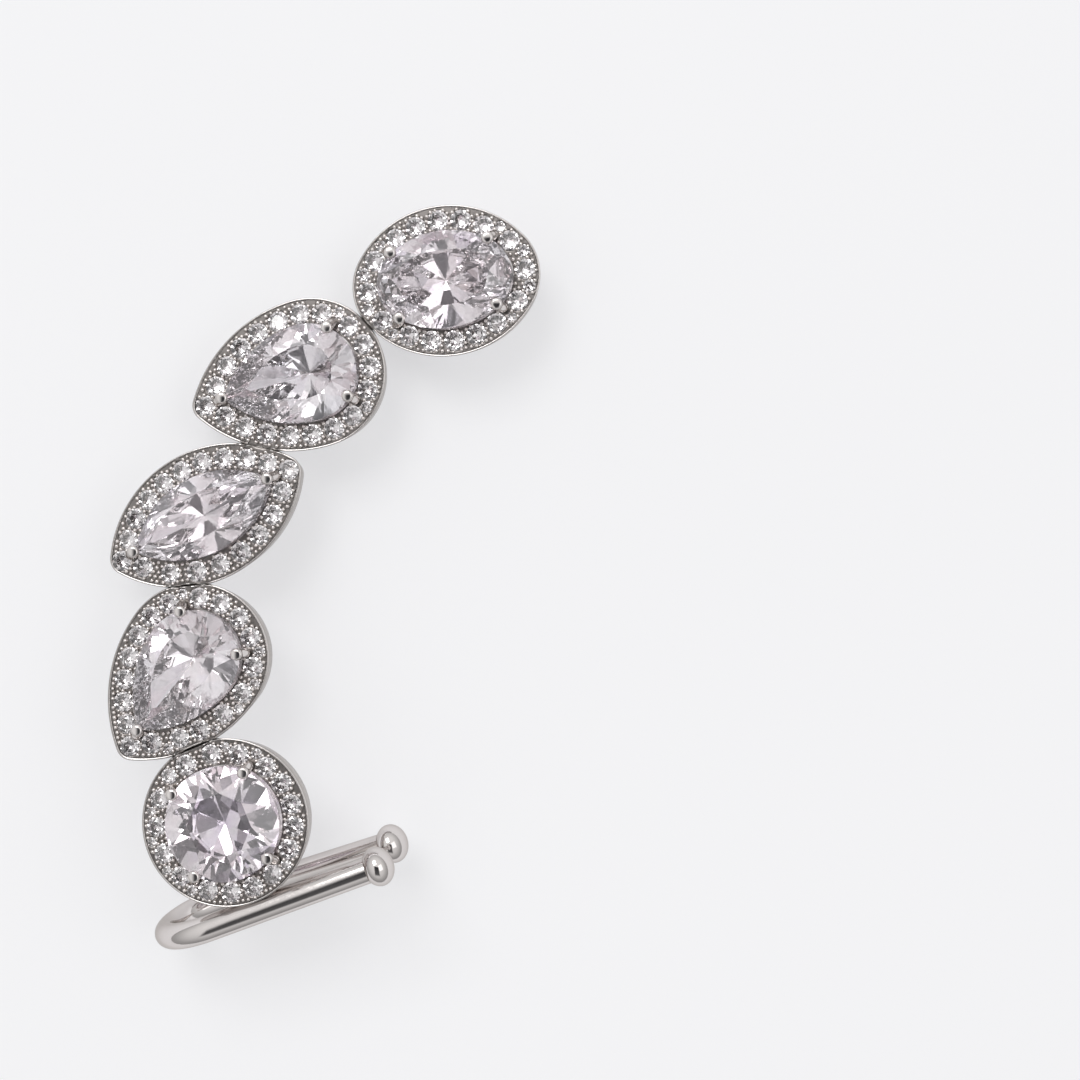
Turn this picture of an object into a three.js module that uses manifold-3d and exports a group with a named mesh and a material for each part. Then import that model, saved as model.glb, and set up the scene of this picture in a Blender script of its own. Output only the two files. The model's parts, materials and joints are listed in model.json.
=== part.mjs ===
// Ear cuff in millimetres: five cut stones, each in a pave halo, in a curved row on a hairpin clip.
// The row is drawn flat, with its faces up, its long way along y and the clip at the low end.
// It is then turned to lie on its back the way it settles by itself.

import * as THREE from "three";
import { mergeVertices } from "three/addons/utils/BufferGeometryUtils.js";
import { ConvexHull } from "three/addons/math/ConvexHull.js";
import Module from "manifold-3d";

const wasm = await Module();
wasm.setup();

// Width of the pear and oval stones, and the widths of the other two cuts as shares of it.
const stoneWidth = 5;
const roundShare = 1.2;
const marquiseShare = 0.8;

// The cuts. tip and tail are how far a stone reaches to either side of its middle, which is the middle of its
// widest part. nose is the radius that rounds its ends, and draw is how much further than at its sides the
// halo runs on at its points. All four are shares of the width.
const cuts = {
  round: { width: stoneWidth * roundShare, tip: 0.5, tail: 0.5, nose: 0, draw: 0 },
  pear: { width: stoneWidth, tip: 0.93, tail: 0.5, nose: 0, draw: 0.08 },
  marquise: { width: stoneWidth * marquiseShare, tip: 1, tail: 1, nose: 0, draw: 0.05 },
  oval: { width: stoneWidth, tip: 0.7, tail: 0.7, nose: 0.4, draw: 0 },
};

// The five settings, from the clip upward. axis is the bearing of the stone's tip, step is the bearing of its
// middle from the one before, and prongs are bearings round the middle from the tip, all in degrees.
// lap is how far the setting's rim runs into the one before it, in millimetres, where the two are soldered.
const settings = [
  { name: "round", cut: cuts.round, axis: 0, step: 0, lap: 0, prongs: [66, 148, 243, 326] },
  { name: "pear_low", cut: cuts.pear, axis: 233.5, step: 100.57, lap: 0.3, prongs: [0, 132, 228] },
  { name: "marquise", cut: cuts.marquise, axis: 28.2, step: 85.74, lap: 0.25, prongs: [0, 180] },
  { name: "pear_mid", cut: cuts.pear, axis: 197, step: 53.02, lap: 0.15, prongs: [0, 132, 228] },
  { name: "oval", cut: cuts.oval, axis: 8, step: 33.69, lap: 0.06, prongs: [34, 146, 214, 326] },
];

// Halo and wall. Heights are measured from the pave's ground, and widths outward from the stone's edge.
const haloWidth = 1.28;
const rimWidth = 0.12;
const rimHeight = 0.05;
const wallDepth = 2.2;
const backInset = 0.25;
const backLand = 0.6;
const noseShare = 0.6;
const ledgeDepth = 0.5;
const ledgeThickness = 0.45;
const fitClearance = 0.05;

// Rail under each stone, inward of its edge.
const railOuter = 0.3;
const railCrest = 0.5;
const railInner = 0.85;

// Main stones.
const girdleHeight = 0.66;
const girdleThickness = 0.1;
const crownHeight = 0.74;
const crownShare = 0.22;
const pavilionShare = 0.42;

// Prongs: a post beside the stone with a claw leaning in over its edge.
const prongRadius = 0.22;
const prongStandoff = 0.3;
const clawRadius = 0.27;
const clawLean = 0.33;
const clawHeight = 1.22;
const clawCrown = 0.22;
const clawTopRadius = 0.15;

// Pave stones in one row round each halo. pavePitch is the least distance between their middles, paveLine is
// how far the row runs outside the main stone's edge, and tipLine the same for a stone at a halo's point.
const paveDiameter = 1.06;
const paveTable = 0.6;
const paveRise = 0.18;
const pavePitch = 1.14;
const paveLine = 0.62;
const tipLine = 0.84;

// Clip: a wire bent like a hairpin, soldered under the round setting, with a bead on both ends.
const wireDiameter = 1.4;
const wireDepth = 0.75;
const bendRadius = 2.9;
const mouthGap = 4.0;
const armLength = 9.5;
const beadReach = 6.6;
const armRise = 20.5;
const clipLean = 8.5;
const solderOverlap = 0.12;
const endBeadWidth = 2.1;
const endBeadLength = 1.65;

// Sides of the rings that shape each kind of piece.
const wallSides = 40;
const stoneSides = 16;
const paveSides = 12;
const prongSides = 8;
const wireSides = 10;
const bendSteps = 8;
const beadSides = 12;
const beadRings = 6;

// Steps that trace an outline.
const traceSteps = 720;

// How far a cutter runs past the halo's plate, above and below.
const cutterReach = 1;

const radians = THREE.MathUtils.degToRad;

// Where a measure that is negative near and positive far crosses zero, by halving as finely as numbers go.
function crossing(near, far, measure) {
  const middle = (near + far) / 2;
  if (middle === near || middle === far) return near;
  return measure(middle) < 0 ? crossing(middle, far, measure) : crossing(near, middle, measure);
}

// How far a setting's rim reaches from the middle of its stone.
function outerReach(cut) {
  return (Math.max(cut.tip, cut.tail) + cut.draw) * cut.width + haloWidth + rimWidth;
}

// Distance from a point to the stone's outline moved outward by an offset, negative inside.
// Each side of the outline is an arc that bows out from the long axis, and a nose rounds its ends.
function outlineDistance(cut, offset, x, y) {
  const nose = Math.max(0, cut.nose * cut.width + noseShare * offset);
  const side = cut.width / 2;
  const end = (x >= 0 ? cut.tip : cut.tail) * cut.width;
  const draw = end > side ? (cut.draw * cut.width * offset) / haloWidth : 0;
  const halfWidth = side + offset - nose;
  const reach = end + offset + draw - nose;
  const bow = (reach ** 2 - halfWidth ** 2) / (2 * halfWidth);
  const across = Math.abs(y) + bow;
  const along = Math.abs(x);
  const fromArcCentre = Math.hypot(along, across);
  const besideArc = across * (halfWidth + bow) >= bow * fromArcCentre;
  const toArc = fromArcCentre - (halfWidth + bow);
  return (besideArc ? toArc : Math.hypot(along - reach, y)) - nose;
}

// Point of an offset outline on a bearing from the middle of the stone.
function outlinePoint(cut, bearing, offset) {
  const x = Math.cos(bearing);
  const y = Math.sin(bearing);
  const away = crossing(0, outerReach(cut), (t) => outlineDistance(cut, offset, t * x, t * y));
  return new THREE.Vector2(away * x, away * y);
}

// Bearings that divide an offset outline into even lengths, starting at the tip or part of a step on.
function evenBearings(cut, offset, count, shift = 0) {
  const lengths = [0];
  let before = outlinePoint(cut, 0, offset);
  for (let i = 1; i <= traceSteps; i += 1) {
    const here = outlinePoint(cut, (i / traceSteps) * 2 * Math.PI, offset);
    lengths.push(lengths[i - 1] + here.distanceTo(before));
    before = here;
  }
  const bearings = [];
  let i = 0;
  for (let n = 0; n < count; n += 1) {
    const wanted = (lengths[traceSteps] * (n + shift)) / count;
    while (lengths[i + 1] < wanted) i += 1;
    const share = (wanted - lengths[i]) / (lengths[i + 1] - lengths[i]);
    bearings.push(((i + share) / traceSteps) * 2 * Math.PI);
  }
  return bearings;
}

function outlineLength(cut, offset) {
  const bearings = Array.from({ length: traceSteps }, (_, i) => (i / traceSteps) * 2 * Math.PI);
  const points = bearings.map((bearing) => outlinePoint(cut, bearing, offset));
  return points.reduce((sum, point, i) => sum + point.distanceTo(points[(i + 1) % points.length]), 0);
}

// Moves a point from a setting's own axes into the row.
function place(setting, x, y, z) {
  const turn = radians(setting.axis);
  const placedX = setting.x + x * Math.cos(turn) - y * Math.sin(turn);
  const placedY = setting.y + x * Math.sin(turn) + y * Math.cos(turn);
  return new THREE.Vector3(placedX, placedY, z);
}

// Distance from a point of the row to another setting's rim, negative inside.
function rimDistance(setting, point) {
  const turn = radians(setting.axis);
  const away = point.clone().sub(new THREE.Vector3(setting.x, setting.y, 0));
  const x = away.x * Math.cos(turn) + away.y * Math.sin(turn);
  const y = away.y * Math.cos(turn) - away.x * Math.sin(turn);
  return outlineDistance(setting.cut, haloWidth + rimWidth, x, y);
}

// Ring of a setting's outline at an offset and a height.
function outlineRing(setting, bearings, offset, height) {
  return bearings.map((bearing) => {
    const point = outlinePoint(setting.cut, bearing, offset);
    return place(setting, point.x, point.y, height);
  });
}

// Places each setting so that its rim laps the one before it by the length that the solder joins.
settings[0].x = 0;
settings[0].y = 0;
settings.slice(1).forEach((setting, i) => {
  const before = settings[i];
  const step = radians(setting.step);
  const rimBearings = evenBearings(setting.cut, haloWidth + rimWidth, wallSides * 2);
  const moveTo = (distance) => {
    setting.x = before.x + distance * Math.cos(step);
    setting.y = before.y + distance * Math.sin(step);
  };
  moveTo(crossing(0, outerReach(before.cut) + outerReach(setting.cut), (distance) => {
    moveTo(distance);
    const rim = outlineRing(setting, rimBearings, haloWidth + rimWidth, 0);
    return Math.min(...rim.map((point) => rimDistance(before, point))) + setting.lap;
  }));
});

// Upright round ring about a point.
function circleRing(centre, radius, sides) {
  return Array.from({ length: sides }, (_, i) => {
    const angle = ((i + 0.5) / sides) * 2 * Math.PI;
    return new THREE.Vector3(Math.cos(angle), Math.sin(angle), 0).multiplyScalar(radius).add(centre);
  });
}

// Skins a stack of rings. A loop joins its last ring to its first; otherwise both ends are capped.
// A ring of one point is an apex.
function skin(rings, isLoop = false) {
  const positions = rings.flat().flatMap((point) => point.toArray());
  const starts = rings.map((_, i) => rings.slice(0, i).reduce((sum, ring) => sum + ring.length, 0));
  const triangles = [];
  const spans = isLoop ? rings.length : rings.length - 1;
  for (let i = 0; i < spans; i += 1) {
    const next = (i + 1) % rings.length;
    const sides = Math.max(rings[i].length, rings[next].length);
    for (let n = 0; n < sides; n += 1) {
      const m = (n + 1) % sides;
      const low = (k) => starts[i] + (rings[i].length === 1 ? 0 : k);
      const high = (k) => starts[next] + (rings[next].length === 1 ? 0 : k);
      if (rings[i].length > 1) triangles.push([low(n), low(m), high(n)]);
      if (rings[next].length > 1) triangles.push([low(m), high(m), high(n)]);
    }
  }
  const last = rings.length - 1;
  if (!isLoop) {
    for (let n = 1; n + 1 < rings[0].length; n += 1) triangles.push([0, n + 1, n]);
    for (let n = 1; n + 1 < rings[last].length; n += 1) {
      triangles.push([starts[last], starts[last] + n, starts[last] + n + 1]);
    }
  }
  return outward(positions, triangles);
}

// Makes a solid of a closed surface, turned so that its faces point out.
function outward(positions, triangles) {
  const corner = (i) => new THREE.Vector3().fromArray(positions, i * 3);
  const volume = triangles.reduce((sum, [a, b, c]) => sum + corner(a).dot(corner(b).cross(corner(c))), 0);
  const indices = triangles.flatMap(([a, b, c]) => (volume > 0 ? [a, b, c] : [a, c, b]));
  const surface = new THREE.BufferGeometry();
  surface.setAttribute("position", new THREE.Float32BufferAttribute(positions, 3));
  surface.setIndex(indices);
  return solidOf(surface);
}

function solidOf(surface) {
  surface.deleteAttribute("normal");
  surface.deleteAttribute("uv");
  const closed = mergeVertices(surface, 0.00001);
  const vertProperties = new Float32Array(closed.attributes.position.array);
  const triVerts = new Uint32Array(closed.index.array);
  return new wasm.Manifold(new wasm.Mesh({ numProp: 3, vertProperties, triVerts }));
}

function joined(solids) {
  return solids.reduce((sum, solid) => sum.add(solid));
}

// Wall, back land, ledge and rail of one setting, swept round the outline as one section.
function basket(setting) {
  const bearings = evenBearings(setting.cut, haloWidth, wallSides);
  const seat = girdleHeight - 2 * pavilionShare * railCrest - fitClearance;
  const ledgeFoot = -ledgeDepth - ledgeThickness;
  const backEdge = haloWidth + rimWidth - backInset;
  const section = [
    { offset: haloWidth + rimWidth, height: rimHeight },
    { offset: haloWidth, height: rimHeight },
    { offset: haloWidth, height: -ledgeDepth },
    { offset: -railOuter, height: -ledgeDepth },
    { offset: -railCrest, height: seat },
    { offset: -railInner, height: ledgeFoot },
    { offset: backEdge - backLand, height: ledgeFoot },
    { offset: backEdge - backLand, height: -wallDepth },
    { offset: backEdge, height: -wallDepth },
  ];
  const rings = section.map(({ offset, height }) => outlineRing(setting, bearings, offset, height));
  return skin(rings, true);
}

// Post and claw of one prong.
function prong(setting, bearing) {
  const at = (offset, height) => {
    const point = outlinePoint(setting.cut, radians(bearing), offset);
    return place(setting, point.x, point.y, height);
  };
  const clawOffset = prongStandoff - clawLean;
  const rings = [
    circleRing(at(prongStandoff, -ledgeDepth - ledgeThickness / 2), prongRadius, prongSides),
    circleRing(at(prongStandoff, girdleHeight + girdleThickness), prongRadius, prongSides),
    circleRing(at(clawOffset, clawHeight), clawRadius, prongSides),
    circleRing(at(clawOffset, clawHeight + clawCrown), clawTopRadius, prongSides),
  ];
  return skin(rings);
}

// Sum of two directions weighted by the cosine and sine of an angle.
function turned(one, other, angle) {
  return one.clone().multiplyScalar(Math.cos(angle)).addScaledVector(other, Math.sin(angle));
}

// Directions and stations of the clip's wire. The front arm runs beside the round setting's wall.
function clip() {
  const round = settings[0];
  const rise = radians(armRise);
  const lean = radians(clipLean);
  const along = new THREE.Vector3(Math.cos(rise), Math.sin(rise), 0);
  const downward = new THREE.Vector3(Math.sin(rise), -Math.cos(rise), 0);
  const backward = turned(new THREE.Vector3(0, 0, -1), downward, -lean);
  const closing = Math.asin((2 * bendRadius - mouthGap) / 2 / armLength);
  const middle = turned(along, backward, -closing);
  const across = turned(backward, along, closing);
  const wallAtWire = haloWidth + rimWidth - (backInset * wireDepth) / wallDepth;
  const standoff = round.cut.width / 2 + wallAtWire + wireDiameter / 2 - solderOverlap;
  const wireStart = place(round, 0, 0, -wireDepth).addScaledVector(downward, standoff);
  const frontBead = wireStart.addScaledVector(along, beadReach);
  const frontBend = frontBead.clone().addScaledVector(along, -armLength);
  const bendCentre = frontBend.clone()
    .addScaledVector(middle, -bendRadius * Math.sin(closing))
    .addScaledVector(across, bendRadius * Math.cos(closing));
  const rearDirection = turned(middle, across, -closing);
  const stations = [{ point: frontBead, heading: along.clone().negate() }];
  const sweep = Math.PI + 2 * closing;
  for (let step = 0; step <= bendSteps; step += 1) {
    const angle = (step / bendSteps) * sweep - closing;
    const point = bendCentre.clone().addScaledVector(turned(across, middle, angle), -bendRadius);
    stations.push({ point, heading: turned(middle, across, -angle).negate() });
  }
  const rearBend = stations[stations.length - 1].point;
  const rearBead = rearBend.clone().addScaledVector(rearDirection, armLength);
  stations.push({ point: rearBead, heading: rearDirection });
  const sideways = new THREE.Vector3().crossVectors(middle, across);
  const rings = stations.map(({ point, heading }) => {
    const other = new THREE.Vector3().crossVectors(heading, sideways);
    return Array.from({ length: wireSides }, (_, i) => {
      const angle = (i / wireSides) * 2 * Math.PI;
      return point.clone()
        .addScaledVector(sideways, (wireDiameter / 2) * Math.cos(angle))
        .addScaledVector(other, (wireDiameter / 2) * Math.sin(angle));
    });
  });
  return joined([skin(rings), endBead(frontBead, along), endBead(rearBead, rearDirection)]);
}

// Flattened bead on the end of an arm, its short way along the wire.
function endBead(centre, direction) {
  const bead = new THREE.SphereGeometry(endBeadWidth / 2, beadSides, beadRings);
  bead.scale(1, endBeadLength / endBeadWidth, 1);
  const turn = new THREE.Quaternion().setFromUnitVectors(new THREE.Vector3(0, 1, 0), direction);
  bead.applyQuaternion(turn);
  bead.translate(centre.x, centre.y, centre.z);
  return solidOf(bead);
}

// Cut stone: a table, sloping crown, thin girdle and a pavilion down to a point.
function cutStone(setting) {
  const bearings = evenBearings(setting.cut, 0, stoneSides);
  const crownInset = setting.cut.width * crownShare;
  const top = girdleHeight + girdleThickness;
  return skin([
    outlineRing(setting, bearings, -crownInset, top + crownHeight),
    outlineRing(setting, bearings, 0, top),
    outlineRing(setting, bearings, 0, girdleHeight),
    [place(setting, 0, 0, girdleHeight - pavilionShare * setting.cut.width)],
  ]);
}

// Middles of the pave stones. A stone stands at each point of a halo, and the others are spread evenly over
// the stretches of the row that clear the prongs, those stones and the neighbouring settings' walls.
function pavePoints(setting, neighbours) {
  const { cut, prongs } = setting;
  const at = (bearing, offset) => outlineRing(setting, [bearing], offset, 0)[0];
  const posts = prongs.map((bearing) => at(radians(bearing), prongStandoff));
  const points = cut.draw > 0 ? prongs.filter((bearing) => bearing % 180 === 0) : [];
  const clearOfPost = paveDiameter / 2 + prongRadius + fitClearance;
  const clearOfWall = paveDiameter / 2 + fitClearance;
  const clearsWalls = (point) => neighbours.every((other) => rimDistance(other, point) >= clearOfWall);
  const tipStones = points.map((bearing) => at(radians(bearing), tipLine)).filter(clearsWalls);
  const line = evenBearings(cut, paveLine, traceSteps).map((bearing) => {
    const point = at(bearing, paveLine);
    const clearsPosts = posts.every((post) => post.distanceTo(point) >= clearOfPost);
    const clearsTips = tipStones.every((stone) => stone.distanceTo(point) >= pavePitch);
    return { point, isFree: clearsPosts && clearsTips && clearsWalls(point) };
  });
  const start = line.findIndex(({ isFree }) => !isFree);
  const stretches = [[]];
  for (const { point, isFree } of [...line.slice(start), ...line.slice(0, start)]) {
    if (isFree) stretches[0].push(point);
    else if (stretches[0].length) stretches.unshift([]);
  }
  const step = outlineLength(cut, paveLine) / traceSteps;
  const spread = stretches.filter((stretch) => stretch.length).flatMap((stretch) => {
    const last = stretch.length - 1;
    const spaces = Math.floor((last * step) / pavePitch);
    const stride = last / Math.max(spaces, 1);
    return Array.from({ length: spaces + 1 }, (_, i) => stretch[Math.round(i * stride)]);
  });
  const isApart = (point, i, all) => all.slice(0, i).every((other) => other.distanceTo(point) > paveDiameter);
  return [...tipStones, ...spread].filter(isApart);
}

// Halo: a flat ring let into the setting, with its pave stones, notched for the prongs and neighbours.
function halo(setting, neighbours) {
  const bearings = evenBearings(setting.cut, haloWidth, wallSides);
  const floor = fitClearance - ledgeDepth;
  const section = [
    { offset: fitClearance, height: floor },
    { offset: haloWidth - fitClearance, height: floor },
    { offset: haloWidth - fitClearance, height: 0 },
    { offset: fitClearance, height: 0 },
  ];
  const rings = section.map(({ offset, height }) => outlineRing(setting, bearings, offset, height));
  const plate = skin(rings, true);
  const stones = pavePoints(setting, neighbours).map((point) => {
    const foot = circleRing(point, paveDiameter / 2, paveSides);
    return skin([foot, circleRing(point.clone().setZ(paveRise), paveTable / 2, paveSides)]);
  });
  const notches = setting.prongs.map((bearing) => notch(setting, bearing));
  const walls = neighbours.map((other) => {
    const around = evenBearings(other.cut, haloWidth, wallSides);
    const reach = haloWidth + rimWidth + 2 * fitClearance;
    return skin([-cutterReach, cutterReach].map((height) => outlineRing(other, around, reach, height)));
  });
  return [...notches, ...walls].reduce((rest, cut) => rest.subtract(cut), joined([plate, ...stones]));
}

// Slot in a halo's inner edge that a prong's post stands in.
function notch(setting, bearing) {
  const angle = radians(bearing);
  const middle = outlinePoint(setting.cut, angle, prongStandoff);
  const outwardWay = middle.clone().normalize();
  const sideWay = new THREE.Vector2(-outwardWay.y, outwardWay.x);
  const halfSlot = prongRadius + fitClearance;
  const corner = (out, side, height) => {
    const point = middle.clone().addScaledVector(outwardWay, out).addScaledVector(sideWay, side);
    return place(setting, point.x, point.y, height);
  };
  const ring = (height) => [
    corner(halfSlot, -halfSlot, height),
    corner(halfSlot, halfSlot, height),
    corner(-2 * halfSlot, halfSlot, height),
    corner(-2 * halfSlot, -halfSlot, height),
  ];
  return skin([ring(-cutterReach), ring(cutterReach)]);
}

// Materials.
const silver = () => new THREE.MeshStandardMaterial({ color: 0xc9c6c2, roughness: 0.18, metalness: 1 });
const paveLook = () => new THREE.MeshStandardMaterial({ color: 0xd8d4d6, roughness: 0.15, metalness: 0.6 });
const crystal = () => new THREE.MeshStandardMaterial({ color: 0xe6e0ea, roughness: 0.03, metalness: 0 });

const pieces = [];
const prongs = settings.flatMap((setting) => setting.prongs.map((bearing) => prong(setting, bearing)));
const frame = joined([...settings.map(basket), ...prongs, clip()]);
pieces.push({ name: "cuff_frame", solid: frame, look: silver() });
settings.forEach((setting, i) => {
  const neighbours = [settings[i - 1], settings[i + 1]].filter(Boolean);
  pieces.push({ name: `halo_${setting.name}`, solid: halo(setting, neighbours), look: paveLook() });
  pieces.push({ name: `stone_${setting.name}`, solid: cutStone(setting), look: crystal() });
});

const row = new THREE.Group();
for (const { name, solid, look } of pieces) {
  const { vertProperties, triVerts } = solid.getMesh();
  const surface = new THREE.BufferGeometry();
  surface.setAttribute("position", new THREE.BufferAttribute(vertProperties, 3));
  surface.setIndex(new THREE.BufferAttribute(triVerts, 1));
  const mesh = new THREE.Mesh(surface, look);
  mesh.name = name;
  row.add(mesh);
}

// Finds how the row lies on its back: the face of its convex hull under the centre of its volume.
function restingTurn() {
  const hull = new ConvexHull().setFromObject(row);
  const centre = new THREE.Vector3();
  let volume = 0;
  for (const { geometry } of row.children) {
    const { position } = geometry.attributes;
    for (let i = 0; i < geometry.index.count; i += 3) {
      const corner = (k) => new THREE.Vector3().fromBufferAttribute(position, geometry.index.getX(i + k));
      const [a, b, c] = [corner(0), corner(1), corner(2)];
      const part = a.dot(b.clone().cross(c)) / 6;
      centre.addScaledVector(a.add(b).add(c), part / 4);
      volume += part;
    }
  }
  centre.divideScalar(volume);
  const underCentre = hull.faces.filter((face) => {
    const corners = [face.getEdge(0), face.getEdge(1), face.getEdge(2)].map((edge) => edge.head().point);
    const onFace = face.normal.clone().multiplyScalar(-face.distanceToPoint(centre)).add(centre);
    return new THREE.Triangle(...corners).containsPoint(onFace);
  });
  const down = underCentre.sort((one, other) => one.normal.z - other.normal.z)[0].normal;
  const up = down.clone().negate();
  const ahead = new THREE.Vector3(0, 1, 0).projectOnPlane(up).normalize();
  const right = new THREE.Vector3().crossVectors(ahead, up);
  const restingAxes = new THREE.Matrix4().makeBasis(right, ahead, up);
  return new THREE.Quaternion().setFromRotationMatrix(restingAxes).invert();
}

row.quaternion.copy(restingTurn());
row.updateMatrixWorld(true);
const bounds = new THREE.Box3().setFromObject(row, true);
row.position.set(-(bounds.min.x + bounds.max.x) / 2, -(bounds.min.y + bounds.max.y) / 2, -bounds.min.z);

const earCuff = new THREE.Group();
earCuff.add(row);

export default earCuff;
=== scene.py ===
# Looks of the ear cuff: polished settings, pave halos, cut stones and the wire clip.
# Shapes are drawn in millimetres in the flat row, whose x runs right, y up the row and z towards the viewer,
# from the middle of the round stone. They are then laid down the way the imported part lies.

import json
import math

import bmesh
import bpy
import numpy as np
from mathutils import Matrix, Vector


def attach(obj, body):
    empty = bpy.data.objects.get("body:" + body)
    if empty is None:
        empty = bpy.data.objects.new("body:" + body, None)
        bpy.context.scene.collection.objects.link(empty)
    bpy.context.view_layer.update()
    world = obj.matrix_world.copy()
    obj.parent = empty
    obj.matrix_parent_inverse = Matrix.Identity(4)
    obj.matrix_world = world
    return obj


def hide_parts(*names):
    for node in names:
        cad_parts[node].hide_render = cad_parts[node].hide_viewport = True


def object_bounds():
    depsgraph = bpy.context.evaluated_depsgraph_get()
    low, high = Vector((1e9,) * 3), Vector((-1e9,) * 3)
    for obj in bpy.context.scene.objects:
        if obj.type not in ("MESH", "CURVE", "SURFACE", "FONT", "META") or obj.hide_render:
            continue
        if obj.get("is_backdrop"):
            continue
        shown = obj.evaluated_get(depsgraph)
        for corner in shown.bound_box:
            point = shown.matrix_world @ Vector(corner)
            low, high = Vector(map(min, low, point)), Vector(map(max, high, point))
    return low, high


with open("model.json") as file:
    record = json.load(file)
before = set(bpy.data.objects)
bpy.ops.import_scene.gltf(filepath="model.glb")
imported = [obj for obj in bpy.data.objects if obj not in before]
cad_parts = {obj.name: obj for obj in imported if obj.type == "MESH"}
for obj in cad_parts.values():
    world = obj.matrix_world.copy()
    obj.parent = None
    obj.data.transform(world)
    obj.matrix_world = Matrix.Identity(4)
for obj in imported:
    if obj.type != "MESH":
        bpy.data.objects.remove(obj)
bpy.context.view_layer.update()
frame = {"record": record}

# Outlines of the main stones: width, reach of both ends, rounding of the ends, and the halo's draw at a tip
CUTS = {
    "round": {"width": 6.0, "tip": 3.0, "tail": 3.0, "nose": 0.0, "draw": 0.0},
    "pear": {"width": 5.0, "tip": 4.65, "tail": 2.5, "nose": 0.0, "draw": 0.4},
    "marquise": {"width": 4.0, "tip": 4.0, "tail": 4.0, "nose": 0.0, "draw": 0.2},
    "oval": {"width": 5.0, "tip": 3.5, "tail": 3.5, "nose": 2.0, "draw": 0.0},
}

# Settings from the clip upward. axis is the bearing of the stone's tip, and step that of the setting's middle
# from the one before. lap is how far its rim runs into that one's rim, and prongs are bearings from the tip.
SETTINGS = [
    {"name": "round", "cut": "round", "axis": 0.0, "step": 0.0, "lap": 0.0, "prongs": [66, 148, 243, 326]},
    {"name": "pear_low", "cut": "pear", "axis": 233.5, "step": 100.57, "lap": 0.3, "prongs": [0, 132, 228]},
    {"name": "marquise", "cut": "marquise", "axis": 28.2, "step": 85.74, "lap": 0.25, "prongs": [0, 180]},
    {"name": "pear_mid", "cut": "pear", "axis": 197.0, "step": 53.02, "lap": 0.15, "prongs": [0, 132, 228]},
    {"name": "oval", "cut": "oval", "axis": 8.0, "step": 33.69, "lap": 0.06, "prongs": [34, 146, 214, 326]},
]

# Walls, rims, ledges and rails of the settings
HALO_WIDTH, RIM_WIDTH, RIM_HEIGHT, RIM_ROUNDING = 1.28, 0.12, 0.05, 0.059
WALL_DEPTH, WALL_TAPER, BACK_LAND, NOSE_SHARE = 2.2, 0.25, 0.6, 0.6
LEDGE_DEPTH, LEDGE_THICKNESS, CLEARANCE = 0.5, 0.45, 0.05
RAIL_OUTER, RAIL_CREST, RAIL_INNER = 0.3, 0.5, 0.85
WALL_SIDES, RIM_TRACE = 224, 80

# Main stones. The table's inset (CROWN_SHARE) and the pavilion are shares of the stone's width. STAR_SHARE
# and HEEL_SHARE are where the smaller facets meet, as shares of the crown's and the pavilion's height.
GIRDLE_HEIGHT, GIRDLE_THICKNESS, CROWN_HEIGHT = 0.66, 0.1, 0.74
CROWN_SHARE, PAVILION_SHARE, STAR_SHARE, HEEL_SHARE = 0.22, 0.42, 0.42, 0.22
ROUND_MAINS, LONG_MAINS, STONE_EDGE, MERGE_SHARE = 8, 12, 96, 0.0002

# Prongs
PRONG_RADIUS, PRONG_STANDOFF, CLAW_RADIUS = 0.22, 0.3, 0.32
CLAW_LEAN, CLAW_HEIGHT, CLAW_CROWN, CLAW_EDGE, PRONG_BEND = 0.33, 1.24, 0.2, 0.15, 0.2
CLAW_STEPS, CLAW_STEP_ANGLE = 9, 11

# Pave stones
PAVE_DIAMETER, PAVE_TABLE, PAVE_RISE, PAVE_PITCH = 1.06, 0.6, 0.18, 1.14
PAVE_LINE, TIP_LINE, PAVE_DEPTH, PAVE_GIRDLE = 0.62, 0.84, 0.4, 0.03
PAVE_MAINS, PAVE_EDGE, PAVE_SIZE, PAVE_LIFT = 8, 32, 1.03, 0.01
SMALLEST_STONE, STONE_GRID = 0.52, 0.08

# Ground of a halo
SEAT_DEPTH, SEAT_STEEPNESS, GROUND_GAP, GROUND_SUNK = 0.43, 1.12, 0.01, 0.2
GROUND_SIDES, GROUND_RINGS = 480, 27

# Raised beads. The last three are shares of a bead's diameter.
BEAD_DIAMETER, BEAD_PITCH, BEAD_GRID, BEAD_LIFT = 0.27, 0.25, 0.06, 0.05
BEAD_FROM_EDGE, BEAD_UNDER_STONE, BEAD_LEAST = 0.3, 0.42, 0.36

# Solder seams between the settings, sunk into a crease that is painted with shade
SEAM_WIDTH, SEAM_REACH, SEAM_DEPTH = 0.14, 0.12, 0.1

# Wire clip, with angles in degrees
WIRE_DIAMETER, WIRE_DEPTH, BEND_RADIUS, MOUTH_GAP = 1.4, 0.75, 2.9, 4.0
ARM_LENGTH, BEAD_REACH, ARM_RISE, CLIP_LEAN = 9.5, 6.6, 20.5, 8.5
SOLDER_OVERLAP, BEAD_WIDTH, BEAD_LENGTH = 0.12, 2.1, 1.65
ARM_STEPS, BEND_STEPS = 8, 48

# Camera and light, as seen from the row: the lens stands a little to the right of straight ahead
LENS_SIDE, LENS_DISTANCE, LENS_LENGTH, FILM_WIDTH = 5.0, 120.0, 78.0, 36.0
LENS_TARGET, LIGHT_TARGET = (16.4, 14.67, 0.0), (4.0, 14.0, 0.0)
FLOOR_REACH, FLOOR_GLOW, TENT_STRENGTH, OPENING_TONE = 1.5, 0.5, 0.95, (0.03, 0.03, 0.034, 1.0)
MILLIMETRE = 0.001

# Seeds of the random tints, turns and sizes
CUT_SEED, PAVE_SEED, BEAD_SEED, STONE_SEED = 5, 11, 31, 71


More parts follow.
